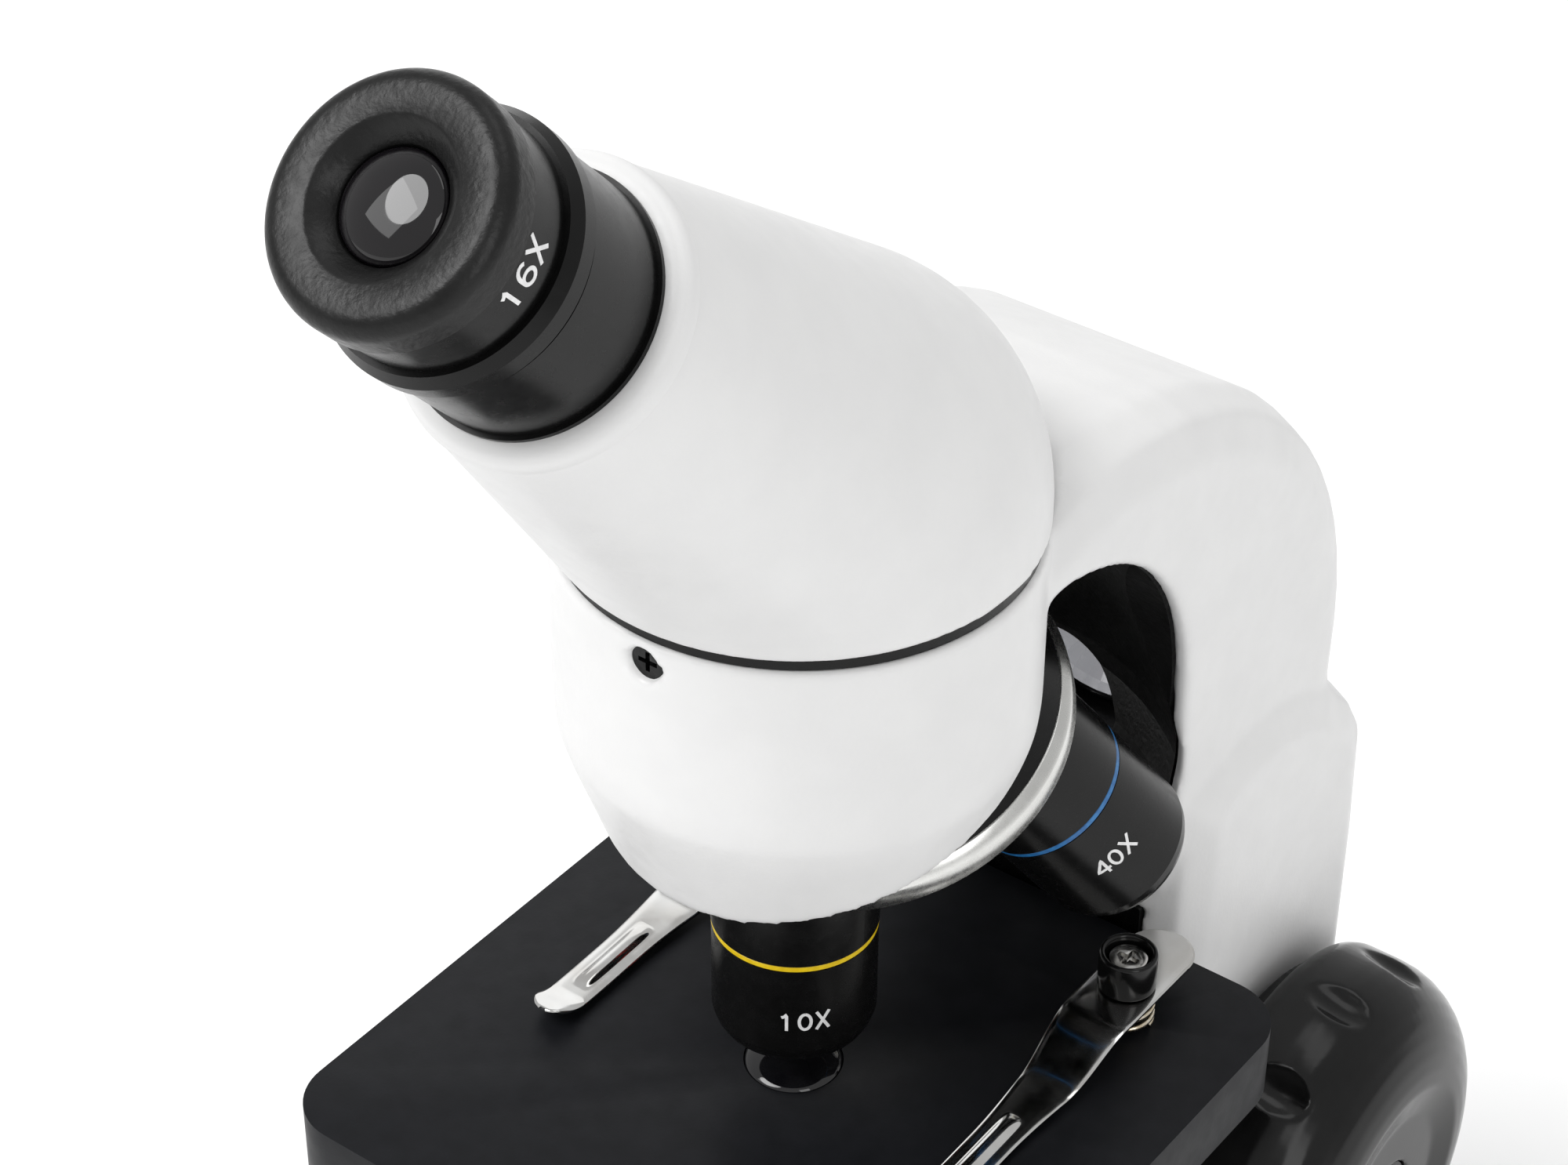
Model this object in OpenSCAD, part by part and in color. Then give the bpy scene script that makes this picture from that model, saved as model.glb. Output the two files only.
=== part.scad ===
// Monocular student microscope with a coaxial rack focus, a three-objective turret,
// an inclined eyepiece head and two battery-powered lamps.
// Millimetres, +Z up. The origin is the middle of the footprint at table level,
// the user sits on the -Y side and the right-hand focus knob is on the +X side.

/* [Overall] */
// Height of the stage surface above the table
stage_top = 120; // [116:1:126]
// Width of the foot
base_width = 120; // [116:1:140]
// Depth of the foot
base_depth = 174; // [172:1:190]
// Distance from the front of the foot to the optical axis
base_reach = 75; // [74:1:80]

/* [Stage] */
// Side of the square stage plate
stage_width = 90; // [88:1:100]
// Thickness of the stage plate at its rim
stage_thickness = 10.3; // [8:0.1:11]
// Corner radius of the stage plate
stage_corner = 8; // [4:1:12]
// Radius of the glass condenser lens
condenser_radius = 6.1; // [5:0.1:7]
// Sideways distance of each clip post from the optical axis
clip_post_x = 28.5; // [26:0.5:34]
// Distance of the clip posts behind the optical axis
clip_post_y = 31; // [28:0.5:34]

/* [Turret] */
// Tilt of the turret axis from vertical
turret_tilt = 22; // [20:1:24]
// Height above the stage where the turret axis meets the optical axis
turret_cross = 76.3; // [74:0.1:78]
// Outer radius of the grip ring
ring_radius = 25.8; // [25.5:0.1:27]
// Radius of the objective barrels
barrel_radius = 10.2; // [9.8:0.1:10.4]

/* [Head] */
// Height of the head seat above the stage
head_seat = 82.5; // [82:0.1:84]
// Radius of the nose housing and of the head's lower rim
nose_radius = 28; // [27:0.5:29]
// Angle of the eyepiece tube above horizontal
tube_tilt = 46; // [44:1:50]
// Height above the stage where the tube axis meets the optical axis
tube_cross = 86; // [84:1:88]
// Outer radius of the eyepiece tube
tube_radius = 13.5; // [13:0.1:14]

/* [Focus] */
// Radius of the focus knobs
knob_radius = 31; // [28:0.5:32]
// Width of one focus knob
knob_width = 20.5; // [20:0.5:24]
// Distance of the focus shaft behind the optical axis
shaft_y = 68; // [67:0.5:70]
// Depth of the focus shaft below the stage surface
shaft_drop = 49; // [48:0.5:50]
// Module of the rack and pinion
gear_module = 0.8; // [0.8:0.1:1]
// Number of teeth on the pinion
pinion_teeth = 16; // [14:1:18]

/* [Hidden] */
$fn = 96;
hull_fn = 32;
eps = 0.01;
axis_y = base_reach - base_depth / 2;
foot_height = 4;
plate_top = 6;
base_top = 36;
base_edge = 20;
base_inset = 8;
wall = 3;
arm_half = 25;
housing_half = 27.5;
arm_front = 46.5;
arm_back = 96.5;
arch_y = 13.5;
arch_z = 40;
arch_radius = 33;
nose_cut = 25;
lock_height = 77.8;
seat_gap = 1.4;
spigot_radius = 19;
guide_half = 20.8;
guide_front = arm_front;
guide_back = 56;
dovetail_front = 11;
dovetail_back = 13.5;
pitch_radius = gear_module * pinion_teeth / 2;
rack_pitch = PI * gear_module;
rack_line = shaft_y - pitch_radius;
pressure_angle = 20;
backlash = 0.3;
objective_shoulder = 41.6;
objective_groove = turret_cross - 23.6;
lamp_y = 65;
lamp_rise = 24.5;
lamp_tilt = 21;
disc_offset = 14;
disc_radius = 21;
disc_holes = [1.2, 2.2, 3.2, 4.2, 5.0];
clip_lift = 5;
clip_width = 9;
clip_tip = -14;
cap_radius = 3.7;
boss_xy = [[-48, -36], [48, -36], [-48, 64], [48, 64]];
foot_xy = [[-38, -58], [38, -58], [-42, 83], [42, 83]];
dial_x = base_width / 2 - 13.7;
dial_y = 20;
switch_y = 22;
battery_y = 2;
knob_black = [0.07, 0.07, 0.08];
paint_white = [0.93, 0.93, 0.92];
steel = [0.75, 0.75, 0.76];

// ---------- placement helpers ----------

// Everything below is drawn about the optical axis.
module on_axis() {
    translate([0, axis_y, 0]) children();
}

// Origin at the stage surface on the optical axis.
module on_stage() {
    translate([0, axis_y, stage_top]) children();
}

// Origin where the turret axis meets the optical axis, local -Z runs down the turret axis.
module at_turret() {
    on_stage() translate([0, 0, turret_cross]) rotate([turret_tilt, 0, 0]) children();
}

// Same origin, local -Z runs down the axis of objective number i.
module at_objective(i) {
    at_turret() rotate([0, 0, 120 * i]) rotate([-turret_tilt, 0, 0]) children();
}

// Origin where the tube axis meets the optical axis, local +Z runs up the eyepiece tube.
module at_tube() {
    on_stage() translate([0, 0, tube_cross]) rotate([90 - tube_tilt, 0, 0]) children();
}

// Origin on the focus shaft, local +Z along +X.
module at_shaft() {
    on_stage() translate([0, shaft_y, -shaft_drop]) rotate([0, 90, 0]) children();
}

// Origin at the mouth of the upper lamp, local +Z points at the specimen.
module at_lamp() {
    on_stage() translate([0, lamp_y, lamp_rise]) rotate([90 + lamp_tilt, 0, 0]) children();
}

// Origin on the optical axis at the lock screw's height, local +Z runs out of its hole.
module at_lock() {
    on_stage() translate([0, 0, lock_height]) rotate([90, 0, 0]) children();
}

// A round tube from z0 to z1.
module tube(z0, z1, r_out, r_in) {
    translate([0, 0, z0]) difference() {
        cylinder(h = z1 - z0, r = r_out);
        translate([0, 0, -1]) cylinder(h = z1 - z0 + 2, r = r_in);
    }
}

// A round rod from z0 to z1.
module rod(z0, z1, r) {
    translate([0, 0, z0]) cylinder(h = z1 - z0, r = r);
}

// Rectangle with round corners, exact arcs.
module round_rect(w, d, r) {
    square([w - 2 * r, d], center = true);
    square([w, d - 2 * r], center = true);
    for (sx = [-1, 1], sy = [-1, 1])
        translate([sx * (w / 2 - r), sy * (d / 2 - r)]) circle(r = r);
}

// A side profile in (y, z) extruded across the machine, with rounded flanks.
module side_slab(half, edge) {
    hull() {
        flank(half - edge) children();
        flank(half - 0.3 * edge) offset(delta = -0.3 * edge) children();
        flank(half) offset(delta = -edge) children();
    }
}

module flank(half) {
    rotate([90, 0, 90]) translate([0, 0, -half]) linear_extrude(2 * half) children();
}

// Cross-headed machine screw, head top at z = 0, shank down.
module machine_screw(head_r, head_h, shank_r, length) {
    difference() {
        rod(-head_h, 0, head_r);
        for (a = [0, 90])
            rotate([0, 0, a])
                translate([-head_r * 0.6, -head_r * 0.14, -head_h * 0.55])
                    cube([head_r * 1.2, head_r * 0.28, head_h]);
    }
    rod(-length, -head_h, shank_r);
}

// ---------- foot ----------

module base_form(inset, z0, z1, z2) {
    corners = [[-1, -1, 34], [1, -1, 34], [-1, 1, 22], [1, 1, 22]];
    hull() {
        for (c = corners) {
            r = c[2] - inset;
            x = c[0] * (base_width / 2 - c[2]);
            y = c[1] > 0 ? base_depth - base_reach - c[2] : -base_reach + c[2];
            translate([x, y, z0]) cylinder(h = z1 - z0, r = r, $fn = 64);
            translate([x, y, z2 - 1]) cylinder(h = 1, r = r - base_inset, $fn = 64);
        }
    }
}

module base_casting() {
    color(paint_white) on_axis() difference() {
        union() {
            difference() {
                base_form(0, foot_height, base_edge, base_top);
                base_form(wall, foot_height - 1, base_edge - 1, base_top - wall - 0.5);
            }
            for (p = boss_xy)
                translate([p[0], p[1], 0]) rod(plate_top + 0.2, base_top - wall, 4.5);
        }
        for (p = boss_xy)
            translate([p[0], p[1], 0]) rod(plate_top - 1, 24, 1.5);
        rod(base_top - 10, base_top + 1, 13.5);
        // Wiring hole up into the arm and the arm bolt holes
        translate([0, 78, 0]) rod(base_top - 10, base_top + 1, 6);
        for (x = [-18, 18], y = [60, 84])
            translate([x, y, 0]) rod(base_top - 10, base_top + 1, 2.5);
        // Scoop and slot for the brightness dial in the right flank
        translate([base_width / 2 + 27.6, dial_y, 0]) rod(10, 24, 30);
        translate([dial_x, dial_y - 12, 14]) cube([20, 24, 6]);
        // Scoop and window for the lamp switch in the left flank
        translate([-base_width / 2 - 27.6, switch_y, 0]) rod(10, 22, 30);
        translate([-base_width / 2 - 5, switch_y - 7, 13]) cube([15, 14, 6]);
        // Power inlet in the back
        translate([0, base_depth - base_reach - 10, 14]) rotate([-90, 0, 0]) rod(0, 20, 5);
    }
}

module base_plate() {
    color(steel) on_axis() difference() {
        intersection() {
            base_form(wall + 0.2, foot_height, plate_top, base_top);
            translate([-80, -90, foot_height]) cube([160, 200, plate_top - foot_height]);
        }
        for (p = boss_xy)
            translate([p[0], p[1], 0]) rod(0, 10, 1.8);
        translate([-32, battery_y - 27, 0]) cube([64, 54, 10]);
    }
}

module base_screws() {
    color(steel) on_axis() {
        for (p = boss_xy)
            translate([p[0], p[1], foot_height - 1.6]) mirror([0, 0, 1])
                machine_screw(3, 1.6, 1.5, 12);
    }
}

module rubber_feet() {
    color([0.1, 0.1, 0.1]) on_axis() {
        for (p = foot_xy)
            translate([p[0], p[1], 0]) {
                rod(1, foot_height, 8);
                cylinder(h = 1, r1 = 7, r2 = 8);
            }
    }
}

module battery_door() {
    color(knob_black) on_axis() {
        translate([-31.7, battery_y - 26.7, foot_height]) cube([63.4, 53.4, 1.8]);
    }
}

module battery_holder() {
    color([0.15, 0.15, 0.16]) on_axis() translate([0, battery_y, 0]) difference() {
        translate([-31, -25.5, plate_top]) cube([62, 51, 18.5]);
        translate([-29.5, -24, plate_top - 1]) cube([59, 48, 18]);
    }
}

module batteries() {
    color([0.75, 0.6, 0.25]) on_axis() translate([0, battery_y, 0]) {
        for (i = [-1, 0, 1])
            translate([i % 2 == 0 ? -25 : -24, i * 15, plate_top + 8.2]) rotate([0, 90, 0]) {
                rod(0, 48.5, 7.2);
                translate([0, 0, i % 2 == 0 ? 48.5 : -1]) rod(0, 1, 2.5);
            }
    }
}

module battery_contacts() {
    color(steel) on_axis() translate([0, battery_y, 0]) {
        for (side = [-1, 1], i = [-1, 0, 1])
            translate([side * 29.1, i * 15, plate_top + 8.2])
                cube([0.6, 9, 9], center = true);
    }
}

module lower_lamp_collar() {
    color(knob_black) on_axis() {
        translate([0, 0, base_top]) rotate_extrude()
            polygon([[13, -4], [13.4, -4], [13.4, 0], [19, 0], [19, 2.5], [17, 4.5], [17, 14],
                     [15.5, 15], [14, 15], [14, 9], [13, 9]]);
    }
}

module lower_lamp_lens() {
    color([0.8, 0.85, 0.9, 0.6]) on_axis() translate([0, 0, base_top]) {
        intersection() {
            rod(9.2, 16, 13.8);
            translate([0, 0, -16]) sphere(r = 32);
        }
    }
}

module lower_led() {
    color([0.9, 0.9, 0.8]) on_axis() {
        rod(base_top - 5.6, base_top - 4, 13.2);
        rod(base_top - 4, base_top + 2, 2.5);
        translate([0, 0, base_top + 2]) sphere(r = 2.5);
    }
}

module circuit_board() {
    color([0.1, 0.35, 0.15]) on_axis() difference() {
        union() {
            translate([-35, 36, 10]) cube([70, 30, 1.6]);
            // Potentiometer body under the dial
            translate([dial_x, dial_y, 8]) rod(0, 5, 8);
            translate([34, dial_y, 10]) cube([10, 20, 1.6]);
            translate([-46, 16, 12]) cube([10, 12, 8]);
            translate([-40, 22, 10]) cube([8, 18, 1.6]);
        }
        translate([0, 50, 0]) rod(0, 20, 3);
    }
}

module dc_inlet() {
    color([0.12, 0.12, 0.12]) on_axis()
        translate([0, base_depth - base_reach, 14]) rotate([90, 0, 0]) difference() {
            union() {
                rod(0.6, 14, 4.9);
                rod(wall + 1.6, 7, 6.2);
            }
            rod(-1, 12, 2.75);
        }
}

module brightness_dial() {
    color([0.1, 0.1, 0.1]) on_axis() translate([dial_x, dial_y, 14.6]) {
        rod(0, 4.8, 13);
        for (i = [0 : 35])
            rotate([0, 0, i * 10]) translate([13, 0, 0]) rod(0, 4.8, 0.5);
        rod(-1.2, 0, 2);
    }
}

module lamp_switch() {
    color([0.12, 0.12, 0.12]) on_axis()
        translate([-base_width / 2, switch_y, 16]) {
            translate([0.3, -3, -2.6]) cube([7.3, 6, 5.2]);
            translate([4.6, -6, -2.6]) cube([3, 12, 5.2]);
        }
}

// ---------- arm ----------

// Outer side profile of the upper arm about the stage surface level.
module arm_profile() {
    back_arc = [for (a = [90 : -6 : 0]) [26 + 64.5 * cos(a), 26 + 58.5 * sin(a)]];
    polygon(concat([[arm_front, 4], [4, 62], [4, 81]], back_arc, [[90, 4]]));
}

module housing_profile() {
    low = base_top - stage_top - 12;
    polygon([[arm_front, low], [arm_front, 22], [53, 23], [61, 25.6], [70, 25.2], [77, 23.4],
             [85.5, 19], [92.3, 12.8], [arm_back, 6], [arm_back + 1, -12], [arm_back + 1, -36],
             [arm_back - 1, -60], [arm_back - 5, low]]);
}

// The space that the swinging objectives and the upper lamp's light need.
module throat_void(grow) {
    on_stage() translate([0, arch_y, arch_z]) rotate([0, 90, 0])
        rod(-60, 60, arch_radius + grow);
    at_turret() rotate_extrude()
        polygon([[0, -nose_cut], [36.2 + grow, -nose_cut], [36.2 + grow, -60.5],
                 [35.4 + grow, -63.6 - grow], [32.6 + grow, -68.9 - grow],
                 [26.4 + grow, -71.6 - grow], [0, -71.8 - grow]]);
    at_lamp() rod(-1 - grow, 40, 11 + grow);
}

// The open space in front of the arm, from the table up to the middle of the arch.
module below_arch() {
    on_axis() translate([-60, -40, 0]) cube([120, arm_front + 40, stage_top + arch_z]);
}

module nose() {
    r = nose_radius;
    difference() {
        on_stage() rotate_extrude()
            polygon([[0, 30], [r - 9.2, 30], [r - 1.2, 53], [r - 0.3, 56], [r, 59],
                     [r, head_seat - seat_gap - 0.1], [0, head_seat - seat_gap - 0.1]]);
        at_turret() translate([0, 0, -nose_cut - 50]) cylinder(h = 50, r = 60);
    }
}

module arm_casting() {
    color(paint_white) difference() {
        union() {
            difference() {
                union() {
                    on_stage() side_slab(arm_half, 7) arm_profile();
                    on_stage() side_slab(housing_half, 7) housing_profile();
                }
                throat_void(0);
                below_arch();
                on_axis() translate([-60, 0, 0]) cube([120, 120, base_top + 0.2]);
                intersection() {
                    throat_void(1.6);
                    on_stage() translate([-22.8, 8, -40]) cube([45.6, 100, 140]);
                }
            }
            nose();
            // Foot of the arm on the base
            on_axis() translate([-22, arm_front + 2, base_top]) cube([44, 42, 8]);
        }
        // Seat of the head, room for the tube to swing round, and light path down to the turret
        on_stage() rod(head_seat - seat_gap - 0.1, 120, nose_radius + 0.4);
        on_stage() translate([0, 0, head_seat - 0.5])
            cylinder(h = 8, r1 = nose_radius + 0.4, r2 = nose_radius + 5.7);
        on_stage() rod(73.5, 100, spigot_radius + 0.05);
        on_stage() rod(30, 80, 8);
        at_turret() rod(-nose_cut - 1, -18, 18);
        // Lock screw hole in the front of the nose
        at_lock() rod(15, 30, 1.5);
        at_lock() rod(25.4, 30, 2.2);
        // Hollow for the rack and pinion, open to the front for the slide guide
        on_stage() translate([-guide_half - 0.1, arm_front - 1, -80.2])
            cube([2 * guide_half + 0.2, guide_back - arm_front + 1.1, 83.3]);
        on_stage() translate([-18, guide_back - 1, -78]) cube([36, 28, 66]);
        at_shaft() rod(-40, 40, 7);
        // Wiring channel and bolt holes in the foot
        on_axis() translate([0, 78, 0]) rod(base_top - 1, stage_top - 60, 5.5);
        on_axis() for (x = [-18, 18], y = [60, 84])
            translate([x, y, 0]) rod(base_top - 1, base_top + 7, 2.05);
        // Socket of the upper lamp
        at_lamp() rod(-13, 0, 8.55);
    }
}

module arm_bolts() {
    color(steel) on_axis()
        for (x = [-18, 18], y = [60, 84])
            translate([x, y, base_top - wall - 0.5 - 2.5]) mirror([0, 0, 1])
                machine_screw(4.2, 2.5, 2, 12);
}

module arm_liner() {
    color(knob_black) difference() {
        intersection() {
            difference() {
                throat_void(1.5);
                throat_void(0);
            }
            on_stage() flank(22.6) offset(delta = -0.2) union() {
                arm_profile();
                housing_profile();
            }
            on_stage() translate([-30, arch_y, 8]) cube([60, 80, 66]);
        }
        on_stage() rod(0, 100, nose_radius + 0.2);
        below_arch();
        at_lamp() rod(-13, 5, 8.55);
    }
}

module upper_lamp_housing() {
    color(knob_black) at_lamp() difference() {
        union() {
            rod(-12.9, 3, 8.5);
            rod(-0.9, 1.2, 10.8);
            rod(1.2, 3, 9.9);
        }
        translate([0, 0, -9]) cylinder(h = 12.5, r1 = 3, r2 = 8.9);
        rod(-14, -5, 2.6);
    }
}

module upper_reflector() {
    color([0.85, 0.85, 0.87]) at_lamp() difference() {
        translate([0, 0, -8.8]) cylinder(h = 11.3, r1 = 3.05, r2 = 8.38);
        translate([0, 0, -8.9]) cylinder(h = 12.5, r1 = 2.6, r2 = 8.5);
    }
}

module upper_led() {
    color([1, 0.9, 0.6]) at_lamp() {
        rod(-12.8, -3.5, 2.5);
        translate([0, 0, -3.5]) sphere(r = 2.5);
    }
}

module head_lock_screw() {
    color([0.08, 0.08, 0.08]) at_lock() translate([0, 0, 27]) machine_screw(2.1, 1.4, 1.45, 8.6);
}

// ---------- turret ----------

module turret_seat() {
    color(knob_black) difference() {
        at_turret() rod(-nose_cut + 0.2, -18, 17.9);
        at_turret() rod(-26, -17, 2.05);
        on_stage() rod(30, 80, 4.5);
        at_turret() rotate([0, 0, 90]) translate([-17, -3, -nose_cut - 1]) cube([9, 6, 2.6]);
    }
}

module turret_pivot() {
    color(steel) at_turret() {
        rod(-36.4, -18.2, 2);
        rod(-37.9, -36.4, 4);
    }
}

module click_spring() {
    color(steel) at_turret() rotate([0, 0, 90]) translate([-16.8, -2.7, -nose_cut + 0.4]) {
        cube([8.5, 5.4, 0.5]);
        translate([1.5, 2.7, -0.2]) rod(0, 0.3, 1);
    }
}

module turret_disc() {
    color(knob_black) difference() {
        union() {
            at_turret() rotate_extrude()
                polygon([[0, -nose_cut - 0.4], [20.5, -nose_cut - 0.4], [23, -27.2], [24.6, -30],
                         [24, -30], [24, -34.4], [0, -34.4]]);
            intersection() {
                for (i = [0, 1, 2])
                    at_objective(i) rod(-objective_shoulder, -32, 10);
                at_turret() rod(-60, -30, 23.95);
            }
        }
        at_turret() rod(-60, -20, 2.05);
        at_turret() rod(-60, -34.4, 4.6);
        for (i = [0, 1, 2]) {
            at_objective(i) rod(-60, -20, 5.5);
            at_objective(i) rod(-60, -objective_shoulder + 5, 8.05);
        }
    }
}

module turret_ring() {
    color([0.8, 0.8, 0.8]) at_turret() difference() {
        rotate_extrude()
            polygon([[24, -30.05], [ring_radius - 1, -30.05], [ring_radius, -31.6],
                     [ring_radius, -34.3], [ring_radius - 0.3, -34.7], [24, -34.7]]);
        for (i = [0, 1, 2])
            rotate([0, 0, 120 * i + 60]) translate([0, -ring_radius - 0.4, -36])
                rotate([0, 0, 45]) cube([1.6, 1.6, 6], center = true);
    }
}

// Outer profile of one objective from its shoulder down to the barrel end.
module objective_form(end, chamfer) {
    r = barrel_radius;
    g = objective_groove;
    e = r - 0.1;
    rotate_extrude()
        polygon([[0, -objective_shoulder + 4.5], [8, -objective_shoulder + 4.5],
                 [8, -objective_shoulder], [r, -objective_shoulder], [r, -g + 0.5],
                 [r - 0.3, -g + 0.4], [r - 0.3, -g - 0.4], [e, -g - 0.5],
                 [e, -end + chamfer], [e - 0.15 * chamfer, -end + 0.5 * chamfer],
                 [e - 0.35 * chamfer, -end + 0.15 * chamfer], [e - 0.6 * chamfer, -end], [0, -end]]);
}

module objective_4x() {
    color(knob_black) at_objective(2) difference() {
        union() {
            objective_form(58, 2);
            rod(-59.5, -58, 6.5);
        }
        rod(-62, -30, 5.05);
    }
}

module objective_10x() {
    color(knob_black) at_objective(0) difference() {
        union() {
            objective_form(68.2, 2.4);
            rod(-69.6, -68.2, 5);
        }
        rod(-72, -30, 3.05);
    }
}

module objective_40x() {
    color(knob_black) at_objective(1) difference() {
        objective_form(70.6, 2.4);
        rod(-75, -58, 5.55);
        rod(-60, -30, 4);
    }
}

module objective_nose() {
    color([0.7, 0.7, 0.7]) at_objective(1) difference() {
        union() {
            rod(-71.8, -61, 5.5);
            translate([0, 0, -74.5]) cylinder(h = 2.7 + eps, r1 = 3, r2 = 5.5);
        }
        rod(-80, -50, 1.5);
    }
}

module objective_lenses() {
    color([0.7, 0.8, 0.9, 0.7]) {
        at_objective(2) rod(-59.2, -56.5, 5);
        at_objective(0) rod(-69.4, -66.5, 3);
    }
}

// ---------- focus ----------

module slide_guide() {
    color(knob_black) on_stage() difference() {
        translate([-guide_half, guide_front, -80]) cube([2 * guide_half, guide_back - guide_front, 83]);
        // Dovetail slot, open at the front
        translate([0, 0, -78]) linear_extrude(75)
            polygon([[-dovetail_front, guide_front - 1], [dovetail_front, guide_front - 1],
                     [dovetail_front, guide_front], [dovetail_back, guide_back - 2],
                     [dovetail_back, guide_back + 1], [-dovetail_back, guide_back + 1],
                     [-dovetail_back, guide_back - 2], [-dovetail_front, guide_front]]);
        at_lamp() rod(-5, 40, 12.6);
    }
}

module shaft_bushes() {
    color([0.75, 0.6, 0.3]) at_shaft()
        for (m = [0, 1])
            mirror([0, 0, m]) tube(18.5, housing_half + 0.4, 6.95, 4.05);
}

module focus_shaft() {
    color(steel) at_shaft() rod(-44, 44, 4);
}

// Involute point at roll angle t on a base circle of radius rb.
function involute(rb, t) = rb * [cos(t) + t * PI / 180 * sin(t), sin(t) - t * PI / 180 * cos(t)];
function roll_angle(rb, r) = sqrt(max(0, r * r / (rb * rb) - 1)) * 180 / PI;
function turned(p, a) = [p[0] * cos(a) - p[1] * sin(a), p[0] * sin(a) + p[1] * cos(a)];

module pinion_tooth(width_angle) {
    rb = pitch_radius * cos(pressure_angle);
    r_tip = pitch_radius + gear_module;
    r_root = pitch_radius - 1.25 * gear_module;
    t_pitch = roll_angle(rb, pitch_radius);
    p_pitch = involute(rb, t_pitch);
    lean = atan2(p_pitch[1], p_pitch[0]) + width_angle / 2;
    steps = [for (k = [0 : 5]) roll_angle(rb, max(rb, r_root) + (r_tip - max(rb, r_root)) * k / 5)];
    flank_points = [for (t = steps) turned(involute(rb, t), -lean)];
    low = flank_points[0];
    foot = low * (r_root - 0.3) / norm(low);
    left = concat([foot], flank_points);
    right = [for (k = [len(left) - 1 : -1 : 0]) [left[k][0], -left[k][1]]];
    polygon(concat(left, right));
}

module focus_pinion() {
    width_angle = (180 / pinion_teeth) - backlash / 2 / pitch_radius * 180 / PI;
    color([0.75, 0.6, 0.3]) at_shaft() rotate([0, 0, 90]) difference() {
        translate([0, 0, -4]) linear_extrude(8) {
            circle(r = pitch_radius - 1.25 * gear_module);
            for (i = [0 : pinion_teeth - 1])
                rotate([0, 0, i * 360 / pinion_teeth + 180]) pinion_tooth(width_angle);
        }
        rod(-5, 5, 4);
    }
}

// Rack profile in (y, z) with teeth towards +y.
module focus_rack() {
    teeth = 13;
    half = rack_pitch / 4 - backlash / 4;
    lean = gear_module * tan(pressure_angle);
    z_mid = -shaft_drop - rack_pitch / 2;
    z_low = z_mid - rack_pitch * 3;
    color(steel) on_stage() rotate([90, 0, 90]) translate([0, 0, -3.5]) linear_extrude(7) {
        translate([51.5, z_low - 2])
            square([rack_line - 1.25 * gear_module - 51.5, rack_pitch * teeth + 2]);
        for (i = [0 : teeth - 1]) {
            z = z_low + rack_pitch * i;
            polygon([[rack_line - 1.3 * gear_module, z - half - lean * 1.3],
                     [rack_line + gear_module, z - half + lean],
                     [rack_line + gear_module, z + half - lean],
                     [rack_line - 1.3 * gear_module, z + half + lean * 1.3]]);
        }
    }
}

// Right-hand knob about the shaft, inner face at z0.
module knob() {
    z0 = housing_half + 1;
    z1 = z0 + 2.4;
    z2 = z1 + knob_width;
    r = knob_radius;
    round_r = 13;
    arc = [for (a = [0 : 10 : 90])
        [r - round_r + round_r * cos(a), z2 - round_r + round_r * sin(a)]];
    difference() {
        rotate_extrude()
            polygon(concat([[4, z0], [r - 4.5, z0], [r - 4.5, z1], [r - 2, z1], [r - 0.6, z1 + 0.8],
                            [r, z1 + 2.4]],
                           arc, [[r - round_r - 5, z2 - 1], [4, z2 - 1]]));
        // Oval finger dimples
        for (i = [0 : 11])
            rotate([0, 0, i * 30]) translate([r - 1.7 + 18, 0, z1 + 12])
                rotate([90, 0, 0]) rotate_extrude() translate([13, 0]) circle(r = 5);
        rod(z2 - 3, z2 + 1, 6);
    }
}

module knob_right() {
    color(knob_black) at_shaft() knob();
}

module knob_left() {
    color(knob_black) at_shaft() mirror([0, 0, 1]) knob();
}

module knob_screws() {
    color(steel) at_shaft()
        for (m = [0, 1])
            mirror([0, 0, m]) {
                rod(44, housing_half + knob_width + 0.4, 3.9);
                rod(housing_half + knob_width + 0.4, housing_half + knob_width + 2, 5.8);
            }
}

// ---------- stage ----------

module stage_carriage() {
    gap = 0.1;
    color(knob_black) on_stage() difference() {
        union() {
            // Dovetail slide
            translate([0, 0, -62]) linear_extrude(50)
                polygon([[-dovetail_front + gap, guide_front - 0.5],
                         [dovetail_front - gap, guide_front - 0.5],
                         [dovetail_front - gap, guide_front + gap],
                         [dovetail_back - 2 * gap, guide_back - 2.2],
                         [-dovetail_back + 2 * gap, guide_back - 2.2],
                         [-dovetail_front + gap, guide_front + gap]]);
            // Bracket under the stage
            translate([-16, 12, -stage_thickness - 8]) cube([32, 34, 8]);
            flank(8) polygon([[20, -18], [guide_front - 0.4, -18], [guide_front - 0.4, -56],
                              [40, -56], [22, -24]]);
            translate([-10, 38, -62]) cube([20, guide_front - 38.4, 50]);
        }
        // Groove for the rack and holes for the stage screws
        translate([-3.55, 51.5, -90]) cube([7.1, 10, 100]);
        for (x = [-12, 12], y = [18, 36])
            translate([x, y, -30]) rod(0, 40, 1.6);
        translate([0, -2, 0]) rod(-40, 0, 15.5);
    }
}

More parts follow.
